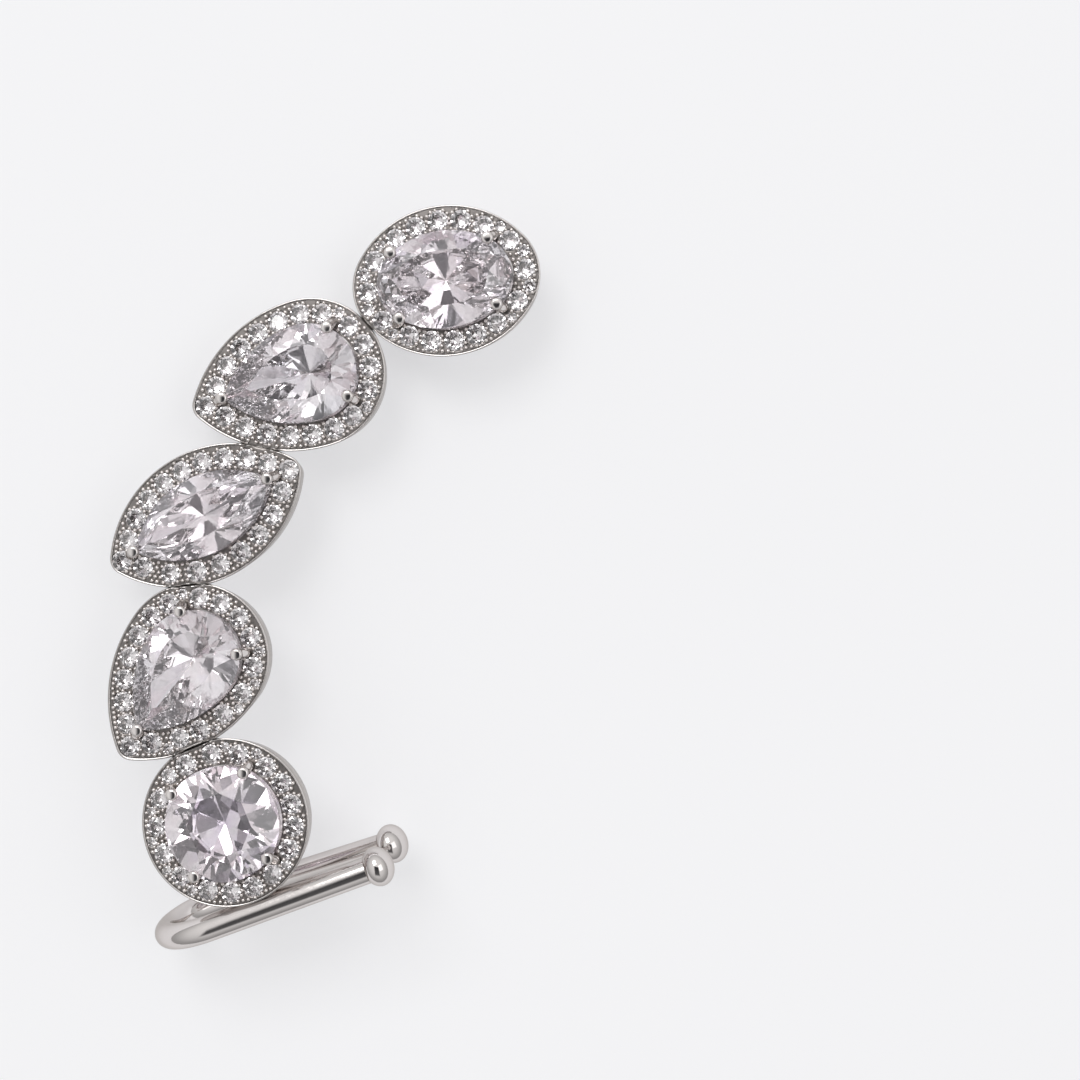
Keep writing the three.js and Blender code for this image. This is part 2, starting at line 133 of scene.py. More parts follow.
def outline_distance(cut, offset, x, y):
    nose = max(0.0, cut["nose"] + NOSE_SHARE * offset)
    side = cut["width"] / 2
    end = np.where(x >= 0, cut["tip"], cut["tail"])
    draw = np.where(end > side, cut["draw"] * offset / HALO_WIDTH, 0.0)
    half_width = side + offset - nose
    reach = end + offset + draw - nose
    bow = (reach ** 2 - half_width ** 2) / (2 * half_width)
    across = np.abs(y) + bow
    along = np.abs(x)
    from_centre = np.hypot(along, across)
    beside_arc = across * (half_width + bow) >= bow * from_centre
    return np.where(beside_arc, from_centre - (half_width + bow), np.hypot(along - reach, y)) - nose


def outline(cut, bearings, offset):
    bearings = np.asarray(bearings, float)
    near = np.zeros_like(bearings)
    far = np.full_like(bearings, cut["tip"] + cut["tail"] + HALO_WIDTH)
    for _ in range(40):
        middle = (near + far) / 2
        inside = outline_distance(cut, offset, middle * np.cos(bearings), middle * np.sin(bearings)) < 0
        near = np.where(inside, middle, near)
        far = np.where(inside, far, middle)
    return np.stack([near * np.cos(bearings), near * np.sin(bearings)], axis=1)


def even_bearings(cut, offset, count):
    fine = np.linspace(0, 2 * math.pi, 1441)
    points = outline(cut, fine, offset)
    lengths = np.concatenate([[0.0], np.cumsum(np.linalg.norm(np.diff(points, axis=0), axis=1))])
    return np.interp(np.arange(count) * lengths[-1] / count, lengths, fine)


def outline_length(cut, offset):
    points = outline(cut, np.linspace(0, 2 * math.pi, 721), offset)
    return float(np.linalg.norm(np.diff(points, axis=0), axis=1).sum())


def placed(setting, points, height):
    turn = math.radians(setting["axis"])
    points = np.atleast_2d(points)
    x = setting["x"] + points[:, 0] * math.cos(turn) - points[:, 1] * math.sin(turn)
    y = setting["y"] + points[:, 0] * math.sin(turn) + points[:, 1] * math.cos(turn)
    return np.stack([x, y, np.broadcast_to(height, x.shape)], axis=1)


def seen_from(setting, points):
    turn = math.radians(setting["axis"])
    away = points[:, :2] - np.array([setting["x"], setting["y"]])
    x = away[:, 0] * math.cos(turn) + away[:, 1] * math.sin(turn)
    y = away[:, 1] * math.cos(turn) - away[:, 0] * math.sin(turn)
    return x, y


def rim_distance(setting, points):
    return outline_distance(CUTS[setting["cut"]], HALO_WIDTH + RIM_WIDTH, *seen_from(setting, points))


# Places each setting so that its rim laps the one before it by the length that the solder joins
def stand_in_row(before, setting):
    cut, step = CUTS[setting["cut"]], math.radians(setting["step"])
    edge_offset = HALO_WIDTH + RIM_WIDTH
    rim = outline(cut, even_bearings(cut, edge_offset, RIM_TRACE), edge_offset)
    near, far = 0.0, 2 * (CUTS[before["cut"]]["width"] + cut["width"])
    for _ in range(40):
        distance = (near + far) / 2
        setting["x"] = before["x"] + distance * math.cos(step)
        setting["y"] = before["y"] + distance * math.sin(step)
        overlap = -rim_distance(before, placed(setting, rim, 0.0)).min()
        near, far = (distance, far) if overlap > setting["lap"] else (near, distance)


SETTINGS[0].update(x=0.0, y=0.0)
for before, setting in zip(SETTINGS, SETTINGS[1:]):
    stand_in_row(before, setting)


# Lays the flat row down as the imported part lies: its mount is on the back of the marquise setting.
def row_to_rest():
    mount = frame["record"]["mounts"][0]
    facing = -Vector(mount["axis"]).normalized()
    upward = Vector((0.0, facing.z, -facing.y)).normalized()
    turn = Matrix((upward.cross(facing), upward, facing)).transposed()
    marquise = next(setting for setting in SETTINGS if setting["name"] == "marquise")
    out = CUTS["marquise"]["width"] / 2 + HALO_WIDTH + RIM_WIDTH - WALL_TAPER - BACK_LAND / 2
    bearing = math.radians(marquise["axis"] + 90)
    mount_x = marquise["x"] + out * math.cos(bearing)
    mount_y = marquise["y"] + out * math.sin(bearing)
    shift = Vector(mount["pos_m"]) - (turn @ Vector((mount_x, mount_y, -WALL_DEPTH))) * MILLIMETRE
    return Matrix.Translation(shift) @ turn.to_4x4() @ Matrix.Scale(MILLIMETRE, 4)


LAY = row_to_rest()


# How near each point is to the seam where two neighbouring settings are soldered, from 0 to 1
def seam_at(points):
    seam = np.zeros(len(points))
    for one, other in zip(SETTINGS, SETTINGS[1:]):
        from_one, from_other = rim_distance(one, points), rim_distance(other, points)
        near = np.clip(1.0 - np.abs(from_one - from_other) / SEAM_WIDTH, 0.0, 1.0)
        seam = np.where(np.maximum(from_one, from_other) < SEAM_REACH, np.maximum(seam, near), seam)
    return seam


# Sinks the top of a piece along the seams and keeps the seam values, by which its metal is painted with
# crease shade.
def mark_seams(piece):
    count = len(piece.data.vertices)
    points = np.empty(count * 3, np.float32)
    piece.data.vertices.foreach_get("co", points)
    points = points.reshape(count, 3).astype(float)
    seam = seam_at(points) * np.clip((points[:, 2] + SEAM_DEPTH * 4) / (SEAM_DEPTH * 2), 0.0, 1.0)
    points[:, 2] -= seam * SEAM_DEPTH
    piece.data.vertices.foreach_set("co", points.astype(np.float32).ravel())
    values = piece.data.attributes.new("seam", "FLOAT", "POINT")
    values.data.foreach_set("value", seam.astype(np.float32))


def new_piece(name, vertices, faces):
    surface = bpy.data.meshes.new(name)
    surface.from_pydata([tuple(map(float, v)) for v in vertices], [], faces)
    surface.validate()
    piece = bpy.data.objects.new(name, surface)
    bpy.context.scene.collection.objects.link(piece)
    return piece


def face_outward(piece):
    work = bmesh.new()
    work.from_mesh(piece.data)
    bmesh.ops.remove_doubles(work, verts=work.verts, dist=0.00001)
    bmesh.ops.recalc_face_normals(work, faces=work.faces)
    work.to_mesh(piece.data)
    work.free()


def lay_down(piece, body_node, finish, smooth_to=None):
    piece.data.transform(LAY)
    if smooth_to is not None:
        for polygon in piece.data.polygons:
            polygon.use_smooth = True
        piece.data.set_sharp_from_angle(angle=math.radians(smooth_to))
    if not piece.data.materials:
        piece.data.materials.append(finish)
    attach(piece, "root")
    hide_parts(body_node)


# Stack of rings of equal length. A loop joins the last ring to the first, otherwise both ends are capped.
def ring_faces(ring_count, sides, is_loop):
    faces = []
    for i in range(ring_count if is_loop else ring_count - 1):
        j = (i + 1) % ring_count
        for n in range(sides):
            m = (n + 1) % sides
            faces.append((i * sides + n, i * sides + m, j * sides + m, j * sides + n))
    if not is_loop:
        faces.append(tuple(range(sides))[::-1])
        faces.append(tuple(range((ring_count - 1) * sides, ring_count * sides)))
    return faces


# Rounds the corners of a closed section given as offset, height and corner radius.
def eased_section(corners, steps=3):
    section = []
    for i, (offset, height, radius) in enumerate(corners):
        here = Vector((offset, height))
        before = Vector(corners[i - 1][:2]) - here
        after = Vector(corners[(i + 1) % len(corners)][:2]) - here
        cutback = min(radius, before.length * 0.49, after.length * 0.49)
        start = here + before.normalized() * cutback
        end = here + after.normalized() * cutback
        for step in range(steps + 1):
            t = step / steps
            section.append(tuple((1 - t) ** 2 * start + 2 * t * (1 - t) * here + t ** 2 * end))
    return section


# Materials. Noise scales count per metre, so 320 is a cloud of about 3 mm.
# The seam tone is painted shade for the creases along the solder seams.
EDGE_TONE, SEAM_SHADE_TONE = (0.66, 0.64, 0.62, 1.0), (0.06, 0.055, 0.05, 1.0)
ZIRCONIA_INDEX = 2.15


def new_finish(name):
    finish = bpy.data.materials.new(name)
    finish.use_nodes = True
    tree = finish.node_tree
    shader = tree.nodes["Principled BSDF"]
    return finish, tree, shader


def add_node(tree, kind, **values):
    node = tree.nodes.new(kind)
    for key, value in values.items():
        setattr(node, key, value)
    return node


def noise(tree, coords, scale, detail=4.0, roughness=0.55):
    node = add_node(tree, "ShaderNodeTexNoise")
    node.inputs["Scale"].default_value = scale
    node.inputs["Detail"].default_value = detail
    node.inputs["Roughness"].default_value = roughness
    tree.links.new(coords, node.inputs["Vector"])
    return node.outputs["Fac"]


def ramp(tree, value, stops):
    node = add_node(tree, "ShaderNodeValToRGB")
    elements = node.color_ramp.elements
    while len(elements) < len(stops):
        elements.new(0.5)
    for element, (position, colour) in zip(elements, stops):
        element.position = position
        element.color = (*colour, 1.0)
    tree.links.new(value, node.inputs["Fac"])
    return node.outputs["Color"]


def span(tree, value, low, high, to_low, to_high):
    node = add_node(tree, "ShaderNodeMapRange")
    for socket, number in zip(["From Min", "From Max", "To Min", "To Max"], [low, high, to_low, to_high]):
        node.inputs[socket].default_value = number
    tree.links.new(value, node.inputs["Value"])
    return node.outputs["Result"]


def bump(tree, height, strength, distance, shader):
    node = add_node(tree, "ShaderNodeBump")
    node.inputs["Strength"].default_value = strength
    node.inputs["Distance"].default_value = distance
    tree.links.new(height, node.inputs["Height"])
    tree.links.new(node.outputs["Normal"], shader.inputs["Normal"])


# Polished plated metal. Along the solder seams between settings its colour is painted near black as crease
# shade, by the piece's seam values.
def polished_rhodium(name, tone, rough_low, rough_high, ripple):
    finish, tree, shader = new_finish(name)
    coords = add_node(tree, "ShaderNodeTexCoord").outputs["Object"]
    shader.inputs["Metallic"].default_value = 1.0
    shader.inputs["Specular Tint"].default_value = EDGE_TONE
    cloud = noise(tree, coords, 320.0, 3.0)
    dull = tuple(channel * 0.92 for channel in tone)
    plated = ramp(tree, cloud, [(0.35, dull), (0.65, tone)])
    seam = add_node(tree, "ShaderNodeAttribute", attribute_name="seam").outputs["Fac"]
    # Painted shade: the seam values mix the colour towards near black in the crease between settings.
    crease_shade = add_node(tree, "ShaderNodeMix", data_type="RGBA")
    tree.links.new(seam, crease_shade.inputs["Factor"])
    tree.links.new(plated, crease_shade.inputs["A"])
    crease_shade.inputs["B"].default_value = SEAM_SHADE_TONE
    tree.links.new(crease_shade.outputs["Result"], shader.inputs["Base Color"])
    fine = noise(tree, coords, 2600.0, 6.0, 0.65)
    tree.links.new(span(tree, fine, 0.3, 0.7, rough_low, rough_high), shader.inputs["Roughness"])
    bump(tree, noise(tree, coords, 900.0, 5.0, 0.6), ripple, 0.00002, shader)
    return finish


# Clear stone whose facets differ a little in tint, with a faint haze inside and polishing marks
def zirconia(name, tints, haze, index):
    finish, tree, shader = new_finish(name)
    coords = add_node(tree, "ShaderNodeTexCoord").outputs["Object"]
    shader.inputs["Transmission Weight"].default_value = 1.0 - haze
    shader.inputs["IOR"].default_value = index
    facet = add_node(tree, "ShaderNodeAttribute", attribute_name="facet_tone").outputs["Fac"]
    cloud = noise(tree, coords, 500.0, 3.0)
    blend = add_node(tree, "ShaderNodeMath", operation="MULTIPLY_ADD")
    blend.inputs[1].default_value = 0.5
    tree.links.new(cloud, blend.inputs[0])
    half = add_node(tree, "ShaderNodeMath", operation="MULTIPLY")
    half.inputs[1].default_value = 0.5
    tree.links.new(facet, half.inputs[0])
    tree.links.new(half.outputs[0], blend.inputs[2])
    stops = [(0.2 + 0.6 * i / (len(tints) - 1), tint) for i, tint in enumerate(tints)]
    tree.links.new(ramp(tree, blend.outputs[0], stops), shader.inputs["Base Color"])
    polish = noise(tree, coords, 3500.0, 5.0, 0.7)
    tree.links.new(span(tree, polish, 0.4, 0.75, 0.0, 0.02), shader.inputs["Roughness"])
    return finish


RHODIUM = polished_rhodium("polished_rhodium", (0.75, 0.71, 0.695), 0.05, 0.14, 0.12)
# Painted light: the seats are a lighter copy of the plating, so the stones above them look brighter.
PAINTED_LIGHT_SEATS = polished_rhodium("painted_light_seats", (0.9, 0.875, 0.87), 0.05, 0.15, 0.15)
# Painted shade: the walls are a darker copy of the plating, besides their real satin roughness.
SHADED_SATIN_WALL = polished_rhodium("shaded_satin_walls", (0.63, 0.6, 0.585), 0.12, 0.26, 0.3)
BEAD_METAL = polished_rhodium("raised_beads", (0.82, 0.775, 0.75), 0.08, 0.2, 0.2)
# Painted shade: the ground is near black, the shade between and under the pave stones.
SHADED_GROUND = polished_rhodium("shaded_drilled_ground", (0.26, 0.24, 0.23), 0.2, 0.4, 0.4)
LILAC, ROSE, ICE, WHITE = (0.96, 0.86, 1.0), (1.0, 0.88, 0.93), (0.96, 0.94, 1.0), (1.0, 0.96, 0.985)
# Tints of the round stone: its lilac tint, darkened as painted shade so that it looks darker than the other
# stones.
MAUVE, SHADE, DAWN, PEARL = (0.72, 0.59, 0.79), (0.66, 0.62, 0.69), (0.86, 0.71, 0.77), (0.93, 0.89, 0.91)
DUSK, SMOKE, PALE = (0.86, 0.82, 0.84), (0.8, 0.775, 0.78), (0.94, 0.9, 0.91)
MAIN_STONE = zirconia("clear_zirconia", [LILAC, WHITE, ROSE, WHITE, ICE], 0.04, ZIRCONIA_INDEX)
SHADED_ROUND_STONE = zirconia("shaded_round_zirconia", [MAUVE, PEARL, DAWN, PEARL, SHADE], 0.03, ZIRCONIA_INDEX)
PAVE_STONE = zirconia("pave_zirconia", [PALE, SMOKE, PALE, DUSK], 0.03, ZIRCONIA_INDEX)


# Wall, back land, ledge and rail of one setting. The section's corners are offset, height and rounding.
def basket(setting):
    cut = CUTS[setting["cut"]]
    bearings = even_bearings(cut, HALO_WIDTH, WALL_SIDES)
    seat = GIRDLE_HEIGHT - 2 * PAVILION_SHARE * RAIL_CREST - CLEARANCE
    ledge_foot = -LEDGE_DEPTH - LEDGE_THICKNESS
    back_edge = HALO_WIDTH + RIM_WIDTH - WALL_TAPER
    section = eased_section([
        (HALO_WIDTH + RIM_WIDTH, RIM_HEIGHT, RIM_ROUNDING),
        (HALO_WIDTH, RIM_HEIGHT, RIM_ROUNDING),
        (HALO_WIDTH, -LEDGE_DEPTH, 0.02),
        (-RAIL_OUTER, -LEDGE_DEPTH, 0.08),
        (-RAIL_CREST, seat, 0.06),
        (-RAIL_INNER, ledge_foot, 0.1),
        (back_edge - BACK_LAND, ledge_foot, 0.12),
        (back_edge - BACK_LAND, -WALL_DEPTH, 0.08),
        (back_edge, -WALL_DEPTH, 0.12),
    ])
    rings = [placed(setting, outline(cut, bearings, offset), height) for offset, height in section]
    return np.concatenate(rings), ring_faces(len(rings), len(bearings), True)


# Satin on the outside of the walls, toned darker than the plating as painted shade; bright polish on what the
# stones look down on, toned lighter than the plating as painted light that brightens the stones
def finish_walls(piece):
    piece.data.materials.append(SHADED_SATIN_WALL)
    piece.data.materials.append(PAINTED_LIGHT_SEATS)
    centres = np.array([polygon.center for polygon in piece.data.polygons])
    inward = np.max([-rim_distance(setting, centres) for setting in SETTINGS], axis=0)
    for polygon, depth in zip(piece.data.polygons, inward):
        polygon.material_index = 1 if depth > WALL_TAPER + BACK_LAND / 2 else 0


# Post and rounded claw of one prong: a finger of even thickness that bends in over the stone's edge
def prong(setting, bearing, sides=20, bends=12):
    cut = CUTS[setting["cut"]]
    foot = -LEDGE_DEPTH - LEDGE_THICKNESS / 2
    bend_start = GIRDLE_HEIGHT - PRONG_BEND
    stations = [(PRONG_STANDOFF, foot, PRONG_RADIUS, 0.0)]
    for step in range(bends + 1):
        t = step / bends
        offset = PRONG_STANDOFF - CLAW_LEAN * t * t * (3 - 2 * t)
        slant = CLAW_LEAN * 6 * t * (1 - t) / (CLAW_HEIGHT - bend_start)
        height = bend_start + (CLAW_HEIGHT - bend_start) * t
        radius = PRONG_RADIUS + (CLAW_RADIUS - PRONG_RADIUS) * math.sqrt(t)
        stations.append((offset, height, radius, slant))
    for step in range(CLAW_STEPS):
        t = math.radians(step * CLAW_STEP_ANGLE)
        height = CLAW_HEIGHT + CLAW_CROWN - CLAW_EDGE * (1.0 - math.sin(t))
        radius = CLAW_RADIUS - CLAW_EDGE * (1.0 - math.cos(t))
        stations.append((PRONG_STANDOFF - CLAW_LEAN, height, radius, 0.0))
    bearing = [math.radians(bearing)]
    inner = placed(setting, outline(cut, bearing, 0.0), 0.0)[0]
    outer = placed(setting, outline(cut, bearing, PRONG_STANDOFF), 0.0)[0]
    outward = (outer - inner) / np.linalg.norm(outer - inner)
    sideways = np.array([-outward[1], outward[0], 0.0])
    angles = np.arange(sides)[:, None] / sides * 2 * math.pi
    rings = []
    for offset, height, radius, slant in stations:
        centre = placed(setting, outline(cut, bearing, offset), height)[0]
        across = (outward + np.array([0.0, 0.0, slant])) / math.hypot(1.0, slant)
        rings.append(centre + radius * (np.cos(angles) * across + np.sin(angles) * sideways))
    return np.concatenate(rings), ring_faces(len(rings), sides, False)


def turned(one, other, angle):
    return one * math.cos(angle) + other * math.sin(angle)


# Centre line of the clip's wire, and the two bead centres with the directions of their arms
def clip_path():
    round_cut = CUTS["round"]
    rise, lean = math.radians(ARM_RISE), math.radians(CLIP_LEAN)
    along = np.array([math.cos(rise), math.sin(rise), 0.0])
    downward = np.array([math.sin(rise), -math.cos(rise), 0.0])
    backward = turned(np.array([0.0, 0.0, -1.0]), downward, -lean)
    closing = math.asin((2 * BEND_RADIUS - MOUTH_GAP) / 2 / ARM_LENGTH)
    middle = turned(along, backward, -closing)
    across = turned(backward, along, closing)
    wall_at_wire = HALO_WIDTH + RIM_WIDTH - WALL_TAPER * WIRE_DEPTH / WALL_DEPTH
    standoff = round_cut["width"] / 2 + wall_at_wire + WIRE_DIAMETER / 2 - SOLDER_OVERLAP
    front_bead = np.array([0.0, 0.0, -WIRE_DEPTH]) + downward * standoff + along * BEAD_REACH
    front_bend = front_bead - along * ARM_LENGTH
    bend_centre = front_bend + turned(across, -middle, closing) * BEND_RADIUS
    rear_way = turned(middle, across, -closing)
    points = [front_bead + (front_bend - front_bead) * step / ARM_STEPS for step in range(ARM_STEPS)]
    sweep = math.pi + 2 * closing
    for step in range(BEND_STEPS + 1):
        angle = step / BEND_STEPS * sweep - closing
        points.append(bend_centre - turned(across, middle, angle) * BEND_RADIUS)
    rear_bend = points[-1]
    rear_bead = rear_bend + rear_way * ARM_LENGTH
    points += [rear_bend + (rear_bead - rear_bend) * step / ARM_STEPS for step in range(1, ARM_STEPS + 1)]
    return np.array(points), np.cross(middle, across), [(front_bead, along), (rear_bead, rear_way)]


def clip_wire(sides=32):
    points, sideways, _ = clip_path()
    headings = np.gradient(points, axis=0)
    headings /= np.linalg.norm(headings, axis=1)[:, None]
    angles = np.arange(sides) / sides * 2 * math.pi
    rings = []
    for point, heading in zip(points, headings):
        other = np.cross(heading, sideways)
        spokes = np.cos(angles)[:, None] * sideways + np.sin(angles)[:, None] * other
        rings.append(point + spokes * WIRE_DIAMETER / 2)
    return np.concatenate(rings), ring_faces(len(rings), sides, False)


# Flattened bead at the end of an arm
def end_bead(centre, way, sides=40, rows=20):
    side_way = np.cross(way, [0.0, 0.0, 1.0])
    side_way /= np.linalg.norm(side_way)
    other = np.cross(way, side_way)
    angles = np.arange(sides) / sides * 2 * math.pi
    rings = []
    for row in range(1, rows):
        t = math.pi * row / rows
        radius, height = BEAD_WIDTH / 2 * math.sin(t), BEAD_LENGTH / 2 * math.cos(t)
        spokes = np.cos(angles)[:, None] * side_way + np.sin(angles)[:, None] * other
        rings.append(centre + way * height + spokes * radius)
    return np.concatenate(rings), ring_faces(len(rings), sides, False)


def joined_piece(name, parts):
    vertices, faces, start = [], [], 0
    for points, part_faces in parts:
        vertices.append(points)
        faces += [tuple(start + i for i in face) for face in part_faces]
        start += len(points)
    piece = new_piece(name, np.concatenate(vertices), faces)
    face_outward(piece)
    return piece


# Cuts away what lies outside one facet's plane, and closes the cut with the facet
def trim(work, point, normal):
    geometry = work.verts[:] + work.edges[:] + work.faces[:]
    cut = bmesh.ops.bisect_plane(
        work, geom=geometry, dist=0.00001, plane_co=point, plane_no=normal, clear_outer=True)
    edges = [g for g in cut["geom_cut"] if isinstance(g, bmesh.types.BMEdge) and len(g.link_faces) == 1]
    if edges:
        bmesh.ops.contextual_create(work, geom=edges)


def plane_through(one, two, three, is_up):
    normal = (two - one).cross(three - one).normalized()
    return normal if (normal.z > 0) == is_up else -normal


def meeting(point_a, normal_a, point_b, normal_b, height):
    system = np.array([[*normal_a], [*normal_b], [0.0, 0.0, 1.0]])
    values = np.array([normal_a.dot(point_a), normal_b.dot(point_b), height])
    return Vector(np.linalg.solve(system, values))


# Brilliant cut of any outline: the outline's prism is trimmed by the plane of each facet in turn.
def brilliant(name, cut, girdle_low, girdle_top, crown, table_inset, pavilion, mains_count, edge_sides, seed):
    table_height = girdle_top + crown
    culet = Vector((0.0, 0.0, girdle_low - pavilion))
    fine = outline(cut, np.linspace(0, 2 * math.pi, 721)[:-1], 0.0)
    edge = outline(cut, even_bearings(cut, 0.0, edge_sides), 0.0)
    around = 2 * mains_count
    station_bearings = even_bearings(cut, 0.0, around)
    girdle = [Vector((x, y, 0.0)) for x, y in outline(cut, station_bearings, 0.0)]
    table = [Vector((x, y, table_height)) for x, y in outline(cut, station_bearings, -table_inset)]

    def side_normal(index):
        before = outline(cut, [station_bearings[index] - 0.01], 0.0)[0]
        after = outline(cut, [station_bearings[index] + 0.01], 0.0)[0]
        way = Vector((after[0] - before[0], after[1] - before[1]))
        return Vector((way.y, -way.x, 0.0)).normalized()

    def touching(normal, height):
        reach = (fine @ np.array([normal.x, normal.y])).argmax()
        return Vector((*fine[reach], height))

    work = bmesh.new()
    low = [work.verts.new((x, y, culet.z - 0.1)) for x, y in edge]
    high = [work.verts.new((x, y, table_height)) for x, y in edge]
    work.faces.new(low[::-1])
    work.faces.new(high)
    for i in range(len(edge)):
        j = (i + 1) % len(edge)
        work.faces.new((low[i], low[j], high[j], high[i]))

    mains = []
    for k in range(0, around, 2):
        out = side_normal(k)
        rim = girdle[k] + Vector((0.0, 0.0, girdle_top))
        run = (rim - table[k]).dot(out)
        mains.append((rim, Vector((out.x * crown, out.y * crown, run)).normalized()))
    backs = []
    for k in range(0, around, 2):
        out = side_normal(k)
        rim = girdle[k] + Vector((0.0, 0.0, girdle_low))
        run = (rim - culet).dot(out)
        backs.append((rim, Vector((out.x * pavilion, out.y * pavilion, -run)).normalized()))
    for point, normal in mains + backs:
        trim(work, point, normal)
    for k in range(mains_count):
        here, there = mains[k], mains[(k + 1) % mains_count]
        waist = meeting(*here, *there, girdle_top + STAR_SHARE * crown)
        trim(work, waist, plane_through(table[2 * k], table[(2 * k + 2) % around], waist, True))
        halves = [(2 * k, 2 * k + 1), (2 * k + 1, (2 * k + 2) % around)]
        for a, b in halves:
            lift = Vector((0.0, 0.0, girdle_top))
            normal = plane_through(girdle[a] + lift, girdle[b] + lift, waist, True)
            trim(work, touching(normal, girdle_top), normal)
        here, there = backs[k], backs[(k + 1) % mains_count]
        heel = meeting(*here, *there, culet.z + HEEL_SHARE * pavilion)
        for a, b in halves:
            lift = Vector((0.0, 0.0, girdle_low))
            normal = plane_through(girdle[a] + lift, girdle[b] + lift, heel, False)
            trim(work, touching(normal, girdle_low), normal)
    bmesh.ops.remove_doubles(work, verts=work.verts, dist=cut["width"] * MERGE_SHARE)
    bmesh.ops.recalc_face_normals(work, faces=work.faces)
    piece = new_piece(name, [(0, 0, 0)], [])
    work.to_mesh(piece.data)
    work.free()
    tones = piece.data.attributes.new("facet_tone", "FLOAT", "FACE")
    draw = np.random.default_rng(seed)
    tones.data.foreach_set("value", draw.random(len(piece.data.polygons)).astype(np.float32))
    return piece


def cut_stone(setting, seed):
    cut = CUTS[setting["cut"]]
    girdle_top = GIRDLE_HEIGHT + GIRDLE_THICKNESS
    mains_count = ROUND_MAINS if setting["cut"] == "round" else LONG_MAINS
    table_inset, pavilion = CROWN_SHARE * cut["width"], PAVILION_SHARE * cut["width"]
    piece = brilliant("cut_stone_" + setting["name"], cut, GIRDLE_HEIGHT, girdle_top, CROWN_HEIGHT,
                      table_inset, pavilion, mains_count, STONE_EDGE, seed)
    turn = Matrix.Rotation(math.radians(setting["axis"]), 4, "Z")
    piece.data.transform(Matrix.Translation((setting["x"], setting["y"], 0.0)) @ turn)
    return piece


# Middles of the pave stones, one row round each halo, clear of the prongs and the neighbouring walls
def pave_points(setting, neighbours):
    cut = CUTS[setting["cut"]]

    def spot(bearings, offset):
        return placed(setting, outline(cut, bearings, offset), 0.0)

    def apart(points, others):
        if not len(others):
            return np.full(len(points), 99.0)
        return np.linalg.norm(points[:, None, :] - others[None, :, :], axis=2).min(axis=1)

    def from_walls(points):
        return np.min([rim_distance(other, points) for other in neighbours], axis=0)

    posts = spot(np.radians(setting["prongs"]), PRONG_STANDOFF)
    clear_of_post = PAVE_DIAMETER / 2 + PRONG_RADIUS + CLEARANCE
    clear_of_wall = PAVE_DIAMETER / 2 + CLEARANCE
    tips = [math.radians(b) for b in setting["prongs"] if cut["draw"] > 0 and b % 180 == 0]
    tip_stones = spot(tips, TIP_LINE) if tips else np.zeros((0, 3))
    if tips:
        tip_stones = tip_stones[from_walls(tip_stones) >= clear_of_wall]
    steps = 720
    line = spot(even_bearings(cut, PAVE_LINE, steps), PAVE_LINE)
    free = (apart(line, posts) >= clear_of_post) & (from_walls(line) >= clear_of_wall)
    free &= apart(line, tip_stones) >= PAVE_PITCH
    start = int(np.argmin(free))
    line, free = np.roll(line, -start, axis=0), np.roll(free, -start)
    step = outline_length(cut, PAVE_LINE) / steps
    kept = list(tip_stones)
    edges = np.flatnonzero(np.diff(np.concatenate([[0], free.astype(int), [0]])))
    for first, end in reversed(list(zip(edges[::2], edges[1::2]))):
        last = end - first - 1
        spaces = int(last * step // PAVE_PITCH)
        for i in range(spaces + 1):
            point = line[first + int(i * last / max(spaces, 1) + 0.5)]
            if all(np.linalg.norm(point - other) > PAVE_DIAMETER for other in kept):
                kept.append(point)
    return np.array(kept)


# Distance from each point of a halo to the nearest thing that bounds it: band edges, prongs and neighbours
def open_room(setting, neighbours, points):
    cut = CUTS[setting["cut"]]
    x, y = seen_from(setting, points)
    room = np.minimum(outline_distance(cut, 0.0, x, y), -outline_distance(cut, HALO_WIDTH, x, y))
    posts = placed(setting, outline(cut, np.radians(setting["prongs"]), PRONG_STANDOFF), 0.0)
    from_posts = np.linalg.norm(points[:, None, :2] - posts[None, :, :2], axis=2).min(axis=1)
    room = np.minimum(room, from_posts - PRONG_RADIUS)
    for other in neighbours:
        room = np.minimum(room, rim_distance(other, points))
    return room


def field_grid(setting, pitch):
    reach = 2 * CUTS[setting["cut"]]["width"]
    rows = np.arange(-reach, reach, pitch * math.sqrt(0.75))
    columns = np.arange(-reach, reach, pitch)
    x = np.concatenate([columns + pitch / 2 * (i % 2) for i in range(len(rows))])
    y = np.repeat(rows, len(columns))
    return np.stack([x + setting["x"], y + setting["y"], np.zeros(len(x))], axis=1)


# Smaller stones where a full one has no room, each as large as fits, largest first
def smaller_stones(setting, neighbours, stones):
    grid = field_grid(setting, STONE_GRID)
    room = open_room(setting, neighbours, grid) - CLEARANCE / 2
    grid, room = grid[room > SMALLEST_STONE / 2], room[room > SMALLEST_STONE / 2]
    for stone in stones:
        room = np.minimum(room, np.linalg.norm(grid - stone, axis=1) - PAVE_DIAMETER / 2 - CLEARANCE / 2)
    placed_stones = []
    while len(room) and room.max() > SMALLEST_STONE / 2:
        best = int(room.argmax())
        radius = min(room[best], PAVE_DIAMETER / 2)
        placed_stones.append((*grid[best], 2 * radius / PAVE_DIAMETER))
        room = np.minimum(room, np.linalg.norm(grid - grid[best], axis=1) - radius - CLEARANCE / 2)
    return np.array(placed_stones).reshape(-1, 4)


